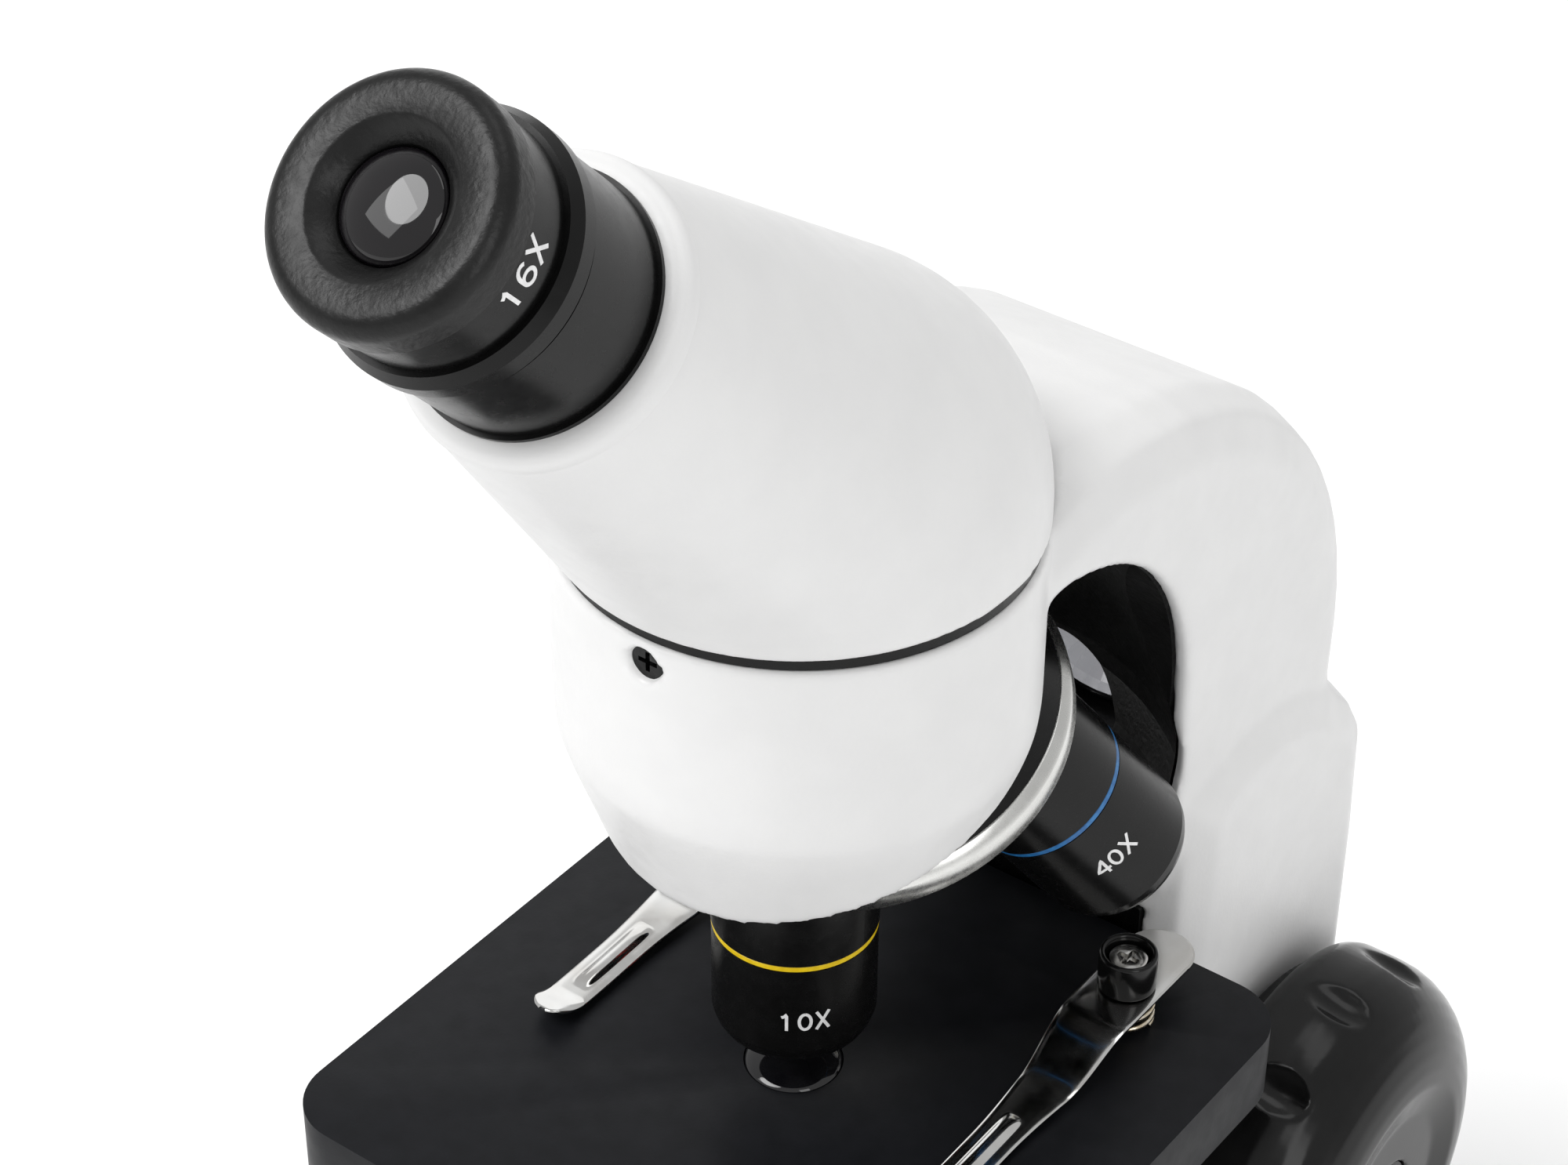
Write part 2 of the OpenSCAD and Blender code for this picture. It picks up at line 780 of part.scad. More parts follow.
module stage_plate() {
    w = stage_width;
    color([0.09, 0.09, 0.1]) on_stage() difference() {
        translate([0, 0, -stage_thickness]) linear_extrude(stage_thickness)
            round_rect(w, w, stage_corner);
        // Hollow underside with a pad at the back for the bracket
        difference() {
            translate([0, 0, -stage_thickness - 1]) linear_extrude(stage_thickness - 3)
                round_rect(w - 7, w - 7, stage_corner - 3);
            rod(-20, 0, 11.5);
            translate([-20, 10, -20]) cube([40, 40, 20]);
            translate([0, -disc_offset, 0]) rod(-20, 0, 4);
            for (x = [-clip_post_x, clip_post_x])
                translate([x, clip_post_y, 0]) rod(-20, 0, 6);
        }
        rod(-20, -2, condenser_radius + 1.5);
        rod(-3, 1, condenser_radius + 0.1);
        for (x = [-12, 12], y = [18, 36])
            translate([x, y, 0]) rod(-20, -stage_thickness + 6, 1.5);
        for (x = [-clip_post_x, clip_post_x])
            translate([x, clip_post_y, 0]) rod(-20, 1, 1.55);
        translate([0, -disc_offset, 0]) rod(-20, -stage_thickness + 5, 1.5);
    }
}

module stage_screws() {
    color(steel) on_stage()
        for (x = [-12, 12], y = [18, 36])
            translate([x, y, -stage_thickness - 8 - 2]) mirror([0, 0, 1])
                machine_screw(2.8, 2, 1.45, 14);
}

module condenser_mount() {
    color([0.1, 0.1, 0.1]) on_stage() tube(-stage_thickness, -2.1, condenser_radius + 1.45,
                                           condenser_radius + 0.05);
}

module condenser_lens() {
    color([0.75, 0.85, 0.9, 0.7]) on_stage() intersection() {
        rod(-5, 2, condenser_radius);
        translate([0, 0, -13.6]) sphere(r = 14);
    }
}

module diaphragm_pivot() {
    color(steel) on_stage() translate([0, -disc_offset, 0]) {
        rod(-stage_thickness - 2.2, -stage_thickness + 4, 1.45);
        rod(-stage_thickness - 3.6, -stage_thickness - 2.2, 3.5);
    }
}

module diaphragm_disc() {
    color([0.12, 0.12, 0.13]) on_stage() translate([0, -disc_offset, -stage_thickness - 2])
        difference() {
            union() {
                rod(0, 1.4, disc_radius);
                for (i = [0 : 59])
                    rotate([0, 0, 6 * i]) translate([disc_radius, 0, 0]) rod(0, 1.4, 0.35);
            }
            for (i = [0 : 4])
                rotate([0, 0, 72 * i]) translate([0, disc_offset, -1]) cylinder(h = 4, r = disc_holes[i]);
            rod(-1, 3, 1.52);
        }
}

// One clip about its post: strip with a bend down to the slide and an upturned tip.
module clip_strip() {
    t = 0.5;
    tip = clip_tip - clip_post_y;
    tail = 12;
    intersection() {
        rotate([90, 0, 90]) translate([0, 0, -6]) linear_extrude(12)
            polygon([[tail, clip_lift], [tail, clip_lift + t], [-6, clip_lift + t],
                     [-19, 1.3 + t], [tip + 4, 0.9 + t], [tip, 2.2 + t],
                     [tip, 2.2], [tip + 4, 0.9], [-19, 1.3], [-6, clip_lift]]);
        translate([0, 0, -1]) linear_extrude(12) {
            translate([0, tail - clip_width / 2]) circle(r = clip_width / 2);
            polygon([[-clip_width / 2, tail - clip_width / 2], [-clip_width / 2, -9],
                     [-2.7, tip + 2.7], [2.7, tip + 2.7], [clip_width / 2, -9],
                     [clip_width / 2, tail - clip_width / 2]]);
            translate([0, tip + 2.7]) circle(r = 2.7);
        }
    }
}

module clip(x) {
    on_stage() translate([x, clip_post_y, 0]) difference() {
        clip_strip();
        rod(0, 10, 2.3);
    }
}

module clip_right() {
    color(steel) clip(clip_post_x);
}

module clip_left() {
    color(steel) clip(-clip_post_x);
}

// Cap that the strip hangs under; it turns with the clip.
module clip_cap(x) {
    on_stage() translate([x, clip_post_y, 0]) difference() {
        union() {
            rod(clip_lift + 0.6, 11, cap_radius);
            rod(0.2, clip_lift + 0.6, 2);
        }
        rod(0, 9, 1.55);
        rod(8.2, 12, cap_radius - 0.8);
    }
}

module clip_cap_right() {
    color(knob_black) clip_cap(clip_post_x);
}

module clip_cap_left() {
    color(knob_black) clip_cap(-clip_post_x);
}

module clip_screws() {
    color([0.8, 0.78, 0.7]) on_stage()
        for (x = [-clip_post_x, clip_post_x])
            translate([x, clip_post_y, 10]) machine_screw(2.4, 1.7, 1.5, 18);
}

// Coil spring under each clip, a flat wire wound round the post.
module clip_springs() {
    coil_r = 3;
    wire = 0.4;
    wrap = [-60, -20, 20, 60];
    outer = [for (a = wrap) (coil_r + wire) * [cos(a), sin(a)]];
    inner = [for (k = [len(wrap) - 1 : -1 : 0]) (coil_r - wire) * [cos(wrap[k]), sin(wrap[k])]];
    color([0.8, 0.7, 0.5]) on_stage()
        for (x = [-clip_post_x, clip_post_x])
            translate([x, clip_post_y, 0.1])
                linear_extrude(height = clip_lift - 0.3, twist = -1080, slices = 30, $fn = 8)
                    polygon(concat(outer, inner));
}

// ---------- head ----------

module head_casting() {
    color(paint_white) difference() {
        hull() {
            on_stage() rod(head_seat, head_seat + 4, nose_radius, $fn = 64);
            on_stage() translate([0, 0, head_seat + 3]) intersection() {
                sphere(r = nose_radius, $fn = 64);
                cylinder(h = 60, r = 60);
            }
            at_tube() translate([0, 0, 50]) cylinder(h = 9.6, r = tube_radius + 2.8, $fn = 64);
            at_tube() translate([0, 0, 50]) cylinder(h = 11.2, r = tube_radius + 2, $fn = 64);
            at_tube() translate([0, 0, 50]) cylinder(h = 12, r = tube_radius + 0.8, $fn = 64);
        }
        at_tube() rod(28, 70, tube_radius + 0.02);
        at_tube() rod(4, 40, 10.5);
        on_stage() rod(head_seat - 1, head_seat + 6, 12);
        on_stage() translate([-11.5, -11.5, head_seat + 1]) cube([23, 23, 18]);
    }
}

module head_ring() {
    color(knob_black) on_stage() difference() {
        union() {
            rod(head_seat - seat_gap, head_seat, nose_radius - 0.7);
            rod(74, head_seat - seat_gap, spigot_radius);
        }
        // Groove that the lock screw's tip sits in, and the light path
        difference() {
            rod(lock_height - 1.7, lock_height + 1.7, 30);
            rod(70, 80.5, spigot_radius - 1.2);
        }
        rod(70, 90, 9);
    }
}

module prism() {
    color([0.7, 0.85, 0.9, 0.6]) on_stage() translate([0, 0, head_seat + 1.2])
        rotate([90, 0, 90]) translate([0, 0, -9]) linear_extrude(18)
            polygon([[-9, 0], [11, 0], [11, 9], [-2, 17], [-9, 14]]);
}

module eyepiece_tube() {
    color(knob_black) at_tube() {
        tube(30, 75.4, tube_radius, 11.65);
        tube(62.1, 62.7, tube_radius + 0.5, tube_radius - 0.1);
    }
}

module eyepiece_barrel() {
    color(knob_black) at_tube() difference() {
        union() {
            rod(47, 76, 11.6);
            rotate_extrude()
                polygon([[0, 75.5], [13.4, 75.5], [14, 76.3], [14, 78.4], [13.2, 79.8],
                         [12.6, 79.8], [12.6, 86], [0, 86]]);
        }
        rod(40, 78, 10.4);
        rod(70, 90, 9.4);
    }
}

module eyecup() {
    r = 13;
    round_r = 2.2;
    face = 90.8;
    arc = [for (a = [0 : 15 : 90])
        [r - round_r + round_r * cos(a), face - round_r + round_r * sin(a)]];
    color([0.12, 0.12, 0.12]) at_tube() rotate_extrude()
        polygon(concat([[9.5, 86.05], [r, 86.05]], arc,
                       [[7.2, face], [5.3, 88.4], [5.3, 86.6], [9.5, 86.6]]));
}

module eye_lenses() {
    color([0.5, 0.6, 0.7, 0.7]) at_tube() {
        intersection() {
            rod(85, 90, 5.2);
            translate([0, 0, 89.6 - 7.4]) sphere(r = 7.4);
        }
        rod(81, 85, 9.35);
        rod(50, 53, 10.35);
    }
}

base_casting();
base_plate();
base_screws();
rubber_feet();
battery_door();
battery_holder();
batteries();
battery_contacts();
lower_lamp_collar();
lower_lamp_lens();
lower_led();
circuit_board();
dc_inlet();
brightness_dial();
lamp_switch();
arm_casting();
arm_bolts();
arm_liner();
upper_lamp_housing();
upper_reflector();
upper_led();
head_lock_screw();
turret_seat();
turret_pivot();
click_spring();
slide_guide();
shaft_bushes();
focus_shaft();
focus_pinion();
knob_right();
knob_left();
knob_screws();
stage_carriage();
focus_rack();
stage_plate();
stage_screws();
condenser_mount();
condenser_lens();
diaphragm_pivot();
diaphragm_disc();
clip_screws();
clip_springs();
clip_cap_right();
clip_cap_left();
clip_right();
clip_left();
turret_disc();
turret_ring();
objective_4x();
objective_10x();
objective_40x();
objective_nose();
objective_lenses();
head_casting();
head_ring();
prism();
eyepiece_tube();
eyepiece_barrel();
eyecup();
eye_lenses();
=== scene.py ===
"""Looks of the microscope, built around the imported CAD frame. Metres, +Z up."""
import math

import bmesh
import bpy
from mathutils import Matrix, Vector


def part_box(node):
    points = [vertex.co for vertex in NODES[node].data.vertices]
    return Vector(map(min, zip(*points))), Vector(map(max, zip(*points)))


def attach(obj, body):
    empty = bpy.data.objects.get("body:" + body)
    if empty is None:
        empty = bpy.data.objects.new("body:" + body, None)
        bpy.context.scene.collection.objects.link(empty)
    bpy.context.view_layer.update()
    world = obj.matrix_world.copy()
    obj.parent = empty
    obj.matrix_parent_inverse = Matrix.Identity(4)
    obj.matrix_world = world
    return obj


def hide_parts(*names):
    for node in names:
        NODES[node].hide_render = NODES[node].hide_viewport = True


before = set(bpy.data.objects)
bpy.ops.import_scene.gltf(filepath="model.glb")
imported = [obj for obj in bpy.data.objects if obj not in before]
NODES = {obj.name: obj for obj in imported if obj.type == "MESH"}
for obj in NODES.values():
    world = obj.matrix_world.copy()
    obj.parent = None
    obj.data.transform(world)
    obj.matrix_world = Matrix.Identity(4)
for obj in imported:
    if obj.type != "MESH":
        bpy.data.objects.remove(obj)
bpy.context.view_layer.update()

MM = 0.001
STAGE_LO, STAGE_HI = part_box("stage_plate")
AXIS_Y = (STAGE_LO.y + STAGE_HI.y) / 2
STAGE_Z = STAGE_HI.z
AXIS = Vector((0, AXIS_Y, STAGE_Z))
TURRET_TILT = math.radians(22)
TURRET_HEIGHT = 76.3  # where the turret's axis meets the optical axis, mm above the stage
TURRET = AXIS + Vector((0, 0, TURRET_HEIGHT * MM))
TUBE_TILT = math.radians(46)
TUBE = AXIS + Vector((0, 0, 86 * MM))
POST = Vector((28.5 * MM, 31 * MM, 0))  # the right clip's screw, from the optical axis
BARREL = 10.1  # radius that the objectives' bands and figures are laid on, mm


# ---------- material helpers ----------

def shade(v):
    return (v, v, v)


class Mat:
    """A principled shader with noise in its colour, roughness and surface."""

    def __init__(self, name, color, rough, metal=0.0):
        self.m = bpy.data.materials.new(name)
        self.m.use_nodes = True
        self.t = self.m.node_tree
        self.b = self.t.nodes["Principled BSDF"]
        self.b.inputs["Base Color"].default_value = (*color, 1)
        self.b.inputs["Roughness"].default_value = rough
        self.b.inputs["Metallic"].default_value = metal
        self.coords = self.t.nodes.new("ShaderNodeTexCoord")
        self.height = None

    def set(self, **values):
        for key, value in values.items():
            self.b.inputs[key.replace("_", " ")].default_value = value
        return self

    def noise(self, size_mm, detail):
        n = self.t.nodes.new("ShaderNodeTexNoise")
        n.inputs["Scale"].default_value = 1 / (size_mm * MM)
        n.inputs["Detail"].default_value = detail
        self.t.links.new(self.coords.outputs["Object"], n.inputs["Vector"])
        return n.outputs["Fac"]

    def ramp(self, source, low, high):
        r = self.t.nodes.new("ShaderNodeValToRGB")
        r.color_ramp.elements[0].position = 0.35
        r.color_ramp.elements[1].position = 0.65
        r.color_ramp.elements[0].color = (*low, 1)
        r.color_ramp.elements[1].color = (*high, 1)
        self.t.links.new(source, r.inputs["Fac"])
        return r.outputs["Color"]

    def tint(self, size_mm, low, high):
        out = self.ramp(self.noise(size_mm, 3.0), low, high)
        self.t.links.new(out, self.b.inputs["Base Color"])
        return self

    def gloss(self, size_mm, low, high):
        out = self.ramp(self.noise(size_mm, 4.0), shade(low), shade(high))
        self.t.links.new(out, self.b.inputs["Roughness"])
        return self

    def bump(self, size_mm, strength, depth_mm, detail=2.0):
        n = self.t.nodes.new("ShaderNodeBump")
        n.inputs["Strength"].default_value = strength
        n.inputs["Distance"].default_value = depth_mm * MM
        self.t.links.new(self.noise(size_mm, detail), n.inputs["Height"])
        if self.height:
            self.t.links.new(self.height, n.inputs["Normal"])
        self.height = n.outputs["Normal"]
        self.t.links.new(self.height, self.b.inputs["Normal"])
        return self


white = Mat("white_paint", shade(0.74), 0.42)
white.tint(9, (0.745, 0.744, 0.742), (0.768, 0.767, 0.764)).gloss(2.5, 0.36, 0.48)
white.bump(0.6, 0.5, 0.05).bump(6, 0.12, 0.1).set(Coat_Weight=0.1, Coat_Roughness=0.35)

stage_black = Mat("stage_black", (0.012, 0.013, 0.016), 0.5)
stage_black.tint(4, (0.0045, 0.005, 0.0065), (0.0065, 0.007, 0.009)).gloss(3, 0.42, 0.48)
stage_black.bump(0.45, 0.35, 0.03).set(Specular_IOR_Level=0.18)

black_metal = Mat("black_metal", shade(0.008), 0.3)
black_metal.tint(3, shade(0.003), shade(0.0042)).gloss(1.5, 0.24, 0.28).bump(0.3, 0.08, 0.01)
black_metal.set(Specular_IOR_Level=0.22)

black_gloss = Mat("black_gloss", shade(0.009), 0.2)
black_gloss.tint(5, shade(0.0035), shade(0.0055)).gloss(4, 0.15, 0.2).bump(0.8, 0.06, 0.02)
black_gloss.set(Specular_IOR_Level=0.3)

black_plastic = Mat("black_plastic", shade(0.014), 0.45)
black_plastic.tint(3, shade(0.005), shade(0.0075)).gloss(1.2, 0.3, 0.38).bump(0.75, 0.9, 0.07, 3.0)
black_plastic.set(Specular_IOR_Level=0.28)

rubber = Mat("rubber", shade(0.02), 0.7)
rubber.tint(2, shade(0.016), shade(0.03)).gloss(1, 0.6, 0.8).bump(0.3, 0.4, 0.03)

steel = Mat("steel", (0.55, 0.55, 0.56), 0.32, 1.0)
steel.tint(1.5, shade(0.5), shade(0.62)).gloss(1.2, 0.26, 0.42).bump(0.4, 0.12, 0.01)

chrome = Mat("chrome", (0.66, 0.66, 0.65), 0.1, 1.0)
chrome.tint(6, (0.60, 0.59, 0.57), (0.70, 0.70, 0.69)).gloss(3, 0.08, 0.17).bump(2.5, 0.08, 0.02)

turned = Mat("turned_aluminium", (0.8, 0.8, 0.79), 0.26, 1.0)
turned.tint(3, (0.66, 0.66, 0.64), (0.70, 0.70, 0.68)).gloss(0.8, 0.25, 0.3).bump(0.5, 0.03, 0.01)

brass = Mat("brass", (0.75, 0.55, 0.25), 0.3, 1.0)
brass.tint(1.5, (0.66, 0.48, 0.22), (0.8, 0.6, 0.3)).gloss(1, 0.24, 0.38).bump(0.4, 0.15, 0.01)

spring_steel = Mat("spring_steel", (0.75, 0.66, 0.5), 0.22, 1.0)
spring_steel.tint(1, (0.66, 0.56, 0.4), (0.82, 0.76, 0.64)).gloss(0.8, 0.16, 0.3)
spring_steel.bump(0.3, 0.1, 0.01)

board = Mat("board", (0.03, 0.16, 0.06), 0.4)
board.tint(3, (0.02, 0.13, 0.05), (0.05, 0.2, 0.08)).gloss(1, 0.3, 0.5).bump(0.6, 0.3, 0.03)

battery = Mat("battery", (0.04, 0.04, 0.05), 0.3)
battery.tint(6, (0.03, 0.03, 0.035), (0.32, 0.2, 0.06)).gloss(2, 0.22, 0.36).bump(0.8, 0.1, 0.02)

reflector = Mat("reflector", shade(0.92), 0.12, 0.8)
reflector.tint(3, shade(0.86), shade(0.94)).gloss(2, 0.1, 0.18).bump(1.2, 0.1, 0.02)
# The emission is painted light: a faint glow standing in for studio light reflected in the shaded
# bowl, not light of its own
reflector.set(Emission_Color=(0.92, 0.93, 1, 1), Emission_Strength=0.22)

led = Mat("led", (0.95, 0.9, 0.7), 0.08)
led.tint(2, (0.9, 0.86, 0.62), (0.98, 0.96, 0.84)).gloss(1, 0.05, 0.12).bump(0.8, 0.1, 0.02)
led.set(Emission_Color=(1, 0.96, 0.86, 1), Emission_Strength=0.25)

white_ink = Mat("white_ink", shade(0.82), 0.45)
white_ink.tint(0.6, shade(0.76), shade(0.86)).gloss(0.4, 0.38, 0.52).bump(0.2, 0.2, 0.01)


def ink(name, low, high):
    m = Mat(name, high, 0.35)
    return m.tint(1, low, high).gloss(0.6, 0.28, 0.42).bump(0.3, 0.15, 0.01)


yellow = ink("yellow_band", (0.78, 0.52, 0.0), (0.9, 0.64, 0.01))
blue = ink("blue_band", (0.01, 0.11, 0.32), (0.02, 0.18, 0.45))
red = ink("red_band", (0.5, 0.02, 0.015), (0.62, 0.03, 0.02))


def lens_material(name, tint_low, tint_high):
    m = Mat(name, tint_high, 0.03)
    m.tint(4, tint_low, tint_high).gloss(3, 0.02, 0.06).bump(5, 0.03, 0.02)
    return m.set(Coat_Weight=0.25, Coat_Roughness=0.02, IOR=1.5)


eye_glass = lens_material("eye_glass", (0.0015, 0.001, 0.002), (0.003, 0.002, 0.003))
stage_glass = lens_material("stage_glass", (0.004, 0.004, 0.005), (0.008, 0.008, 0.009))
lamp_glass = lens_material("lamp_glass", (0.55, 0.6, 0.62), (0.68, 0.72, 0.74))
front_glass = lens_material("front_glass", (0.01, 0.02, 0.03), (0.03, 0.05, 0.08))


# ---------- CAD nodes that keep their shape ----------

LOOKS = {
    "base_casting": white, "base_plate": steel, "base_screws": steel, "rubber_feet": rubber,
    "battery_door": black_plastic, "battery_holder": black_plastic, "batteries": battery,
    "battery_contacts": steel, "lower_lamp_collar": black_plastic, "lower_lamp_lens": lamp_glass,
    "lower_led": led, "circuit_board": board, "dc_inlet": black_plastic,
    "brightness_dial": black_plastic, "lamp_switch": black_plastic, "arm_casting": white,
    "arm_bolts": steel, "arm_liner": black_plastic, "upper_lamp_housing": black_gloss,
    "upper_reflector": reflector, "upper_led": led, "head_lock_screw": black_metal,
    "turret_seat": black_metal, "turret_pivot": steel, "click_spring": steel,
    "slide_guide": black_metal, "shaft_bushes": brass, "focus_shaft": steel,
    "focus_pinion": brass, "knob_right": black_gloss, "knob_left": black_gloss,
    "knob_screws": black_plastic, "stage_carriage": black_metal, "focus_rack": steel,
    "stage_plate": stage_black, "stage_screws": steel, "condenser_mount": black_metal,
    "condenser_lens": stage_glass, "diaphragm_pivot": steel, "diaphragm_disc": black_metal,
    "clip_screws": chrome, "clip_cap_right": black_gloss, "clip_cap_left": black_gloss,
    "turret_disc": black_metal, "turret_ring": turned, "objective_4x": black_metal,
    "objective_10x": black_metal, "objective_40x": black_metal, "objective_nose": steel,
    "objective_lenses": front_glass, "head_casting": white, "head_ring": black_metal,
    "prism": front_glass, "eyepiece_tube": black_metal, "eyepiece_barrel": black_metal,
    "eyecup": black_plastic, "eye_lenses": eye_glass,
}
# Cast and moulded shapes with soft edges: (voxel in mm, smoothing steps)
SOFT = {
    "arm_casting": (0.7, 7), "head_casting": (0.55, 6), "base_casting": (0.9, 6),
    "knob_right": (0.45, 3), "knob_left": (0.45, 3),
}
# Turned shapes, whose edges are already broken in the CAD, keep its exact normals
TURNED = {
    "objective_4x", "objective_10x", "objective_40x", "objective_nose", "turret_disc", "head_ring",
    "eyepiece_tube", "eyepiece_barrel", "eye_lenses", "condenser_mount", "objective_lenses",
    "lower_lamp_lens", "lower_led", "upper_led", "prism", "focus_shaft", "arm_liner",
}
# Machined shapes: bevel width in mm, where it is not the usual one
USUAL_BEVEL = 0.12
BEVEL = {
    "stage_plate": 0.6, "clip_cap_right": 0.45, "clip_cap_left": 0.45, "lower_lamp_collar": 0.35,
    "slide_guide": 0.3, "stage_carriage": 0.5, "battery_door": 0.3, "rubber_feet": 0.4,
    "lamp_switch": 0.3,
}
BEVEL_ANGLE = math.radians(35)
NODE_CREASE = math.radians(38)
LATHE_CREASE = math.radians(40)
WELD_DISTANCE = 0.02 * MM


def tidy_normals(o):
    """Drops the imported normals and shades smooth, so that modifiers decide the creases."""
    mesh = o.data
    if "custom_normal" in mesh.attributes:
        mesh.attributes.remove(mesh.attributes["custom_normal"])
    mesh.polygons.foreach_set("use_smooth", [True] * len(mesh.polygons))


for name, node in NODES.items():
    node.data.materials.clear()
    node.data.materials.append(LOOKS.get(name, steel).m)
    if name in TURNED:
        continue
    tidy_normals(node)
    weld = node.modifiers.new("weld", "WELD")
    weld.merge_threshold = WELD_DISTANCE
    if name in SOFT:
        size, steps = SOFT[name]
        remesh = node.modifiers.new("remesh", "REMESH")
        remesh.mode = "VOXEL"
        remesh.voxel_size = size * MM
        remesh.use_smooth_shade = True
        smooth = node.modifiers.new("smooth", "SMOOTH")
        smooth.factor = 0.5
        smooth.iterations = steps
    else:
        bevel = node.modifiers.new("bevel", "BEVEL")
        bevel.width = BEVEL.get(name, USUAL_BEVEL) * MM
        bevel.segments = 3
        bevel.limit_method = "ANGLE"
        bevel.angle_limit = BEVEL_ANGLE
        bevel.use_clamp_overlap = True
        split = node.modifiers.new("creases", "EDGE_SPLIT")
        split.split_angle = NODE_CREASE


# ---------- piece helpers ----------

def link(name, mesh, material, body, replaces=()):
    o = bpy.data.objects.new(name, mesh)
    bpy.context.scene.collection.objects.link(o)
    if material:
        o.data.materials.clear()
        o.data.materials.append(material.m)
    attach(o, body)
    if replaces:
        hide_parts(*replaces)
    return o


def quarter(steps):
    """Angles from 0 to a right angle."""
    return [math.pi / 2 * k / steps for k in range(steps + 1)]


def placed_mesh(name, bm, place, smooth=True):
    """Turns the faces outward, places them and returns them as a mesh."""
    bmesh.ops.recalc_face_normals(bm, faces=bm.faces)
    bm.transform(place)
    mesh = bpy.data.meshes.new(name)
    bm.to_mesh(mesh)
    bm.free()
    mesh.polygons.foreach_set("use_smooth", [smooth] * len(mesh.polygons))
    return mesh


def lathe(name, profile, place, material, body, replaces=(), segments=128, closed=True):
    """Revolves (r, z) points in mm about local Z, then places the mesh."""
    bm = bmesh.new()
    rings = []
    for r, z in profile:
        if r < 1e-6:
            rings.append([bm.verts.new((0, 0, z * MM))])
            continue
        rings.append([bm.verts.new((r * MM * math.cos(2 * math.pi * k / segments),
                                    r * MM * math.sin(2 * math.pi * k / segments), z * MM))
                      for k in range(segments)])
    pairs = list(zip(rings, rings[1:]))
    if closed:
        pairs.append((rings[-1], rings[0]))
    for a, b in pairs:
        for k in range(segments):
            n = (k + 1) % segments
            corners = [a[k % len(a)], a[n % len(a)], b[n % len(b)], b[k % len(b)]]
            unique = list(dict.fromkeys(corners))
            if len(unique) > 2:
                bm.faces.new(unique)
    o = link(name, placed_mesh(name, bm, place), material, body, replaces)
    split = o.modifiers.new("creases", "EDGE_SPLIT")
    split.split_angle = LATHE_CREASE
    return o


def objective_place(index):
    """Frame of an objective: origin where its axis meets the turret axis, +Z up its own axis."""
    up = Matrix.Rotation(TURRET_TILT, 4, "X")
    return (Matrix.Translation(TURRET) @ up @ Matrix.Rotation(math.radians(120 * index), 4, "Z")
            @ Matrix.Rotation(-TURRET_TILT, 4, "X"))


TUBE_PLACE = Matrix.Translation(TUBE) @ Matrix.Rotation(math.pi / 2 - TUBE_TILT, 4, "X")


def ring_points(cx, cy, rx, ry, start, stop, steps=18):
    """Points along an arc of an ellipse, angles in degrees."""
    angles = [math.radians(start + (stop - start) * k / steps) for k in range(steps + 1)]
    return [(cx + rx * math.cos(a), cy + ry * math.sin(a)) for a in angles]


# Middle lines of plain numerals, one unit high
STROKES = {
    "0": [ring_points(0.33, 0.5, 0.26, 0.43, 90, 450, 32)],
    "1": [[(0.08, 0.74), (0.2, 0.8), (0.3, 0.93), (0.3, 0.0)]],
    "4": [[(0.52, 0.0), (0.52, 0.93), (0.04, 0.27), (0.7, 0.27)]],
    "6": [ring_points(0.33, 0.3, 0.26, 0.25, 180, 540, 28),
          [(0.07, 0.3)] + ring_points(0.35, 0.55, 0.28, 0.39, 180, 50, 12)],
    "X": [[(0.05, 0.0), (0.62, 1.0)], [(0.62, 0.0), (0.05, 1.0)]],
}


def glyph_rows(line, width):
    """Pairs of points either side of a middle line, close enough to bend round a barrel."""
    dense = []
    for (x0, y0), (x1, y1) in zip(line, line[1:]):
        steps = max(1, int(math.hypot(x1 - x0, y1 - y0) / 0.09))
        dense += [(x0 + (x1 - x0) * k / steps, y0 + (y1 - y0) * k / steps) for k in range(steps)]
    dense.append(line[-1])
    rows = []
    for k, (x, y) in enumerate(dense):
        ax, ay = dense[max(0, k - 1)]
        bx, by = dense[min(len(dense) - 1, k + 1)]
        run = math.hypot(bx - ax, by - ay) or 1
        nx, ny = -(by - ay) / run * width / 2, (bx - ax) / run * width / 2
        rows.append(((x + nx, y + ny), (x - nx, y - ny)))
    return rows


# Printed figures: in glyph heights, then in mm
ADVANCE, GAP, STROKE = 0.78, 0.12, 0.14
INK_RISE, INK_THICK, STROKE_STEP = 0.03, 0.06, 0.004


def printed_number(name, text, size_mm, radius_mm, z_mm, angle, place, body):
    """White strokes printed round a cylinder, centred at a height and an angle about local Z."""
    bm = bmesh.new()
    start = -(ADVANCE * len(text) - GAP) / 2
    for n, character in enumerate(text):
        for order, line in enumerate(STROKES[character]):
            previous = None
            for left, right in glyph_rows(line, STROKE):
                pair = []
                for x, y in (left, right):
                    r = (radius_mm + INK_RISE + STROKE_STEP * order) * MM
                    a = angle + (start + n * ADVANCE + x) * size_mm / radius_mm
                    z = (z_mm + (y - 0.5) * size_mm) * MM
                    pair.append(bm.verts.new((r * math.cos(a), r * math.sin(a), z)))
                if previous:
                    bm.faces.new((previous[0], previous[1], pair[1], pair[0]))
                previous = pair
    o = link(name, placed_mesh(name, bm, place, smooth=False), white_ink, body)
    ink_depth = o.modifiers.new("depth", "SOLIDIFY")
    ink_depth.thickness = INK_THICK * MM
    ink_depth.offset = 0
    return o


# ---------- objectives ----------

GROOVE = TURRET_HEIGHT - 23.6  # the colour band, mm down the objective
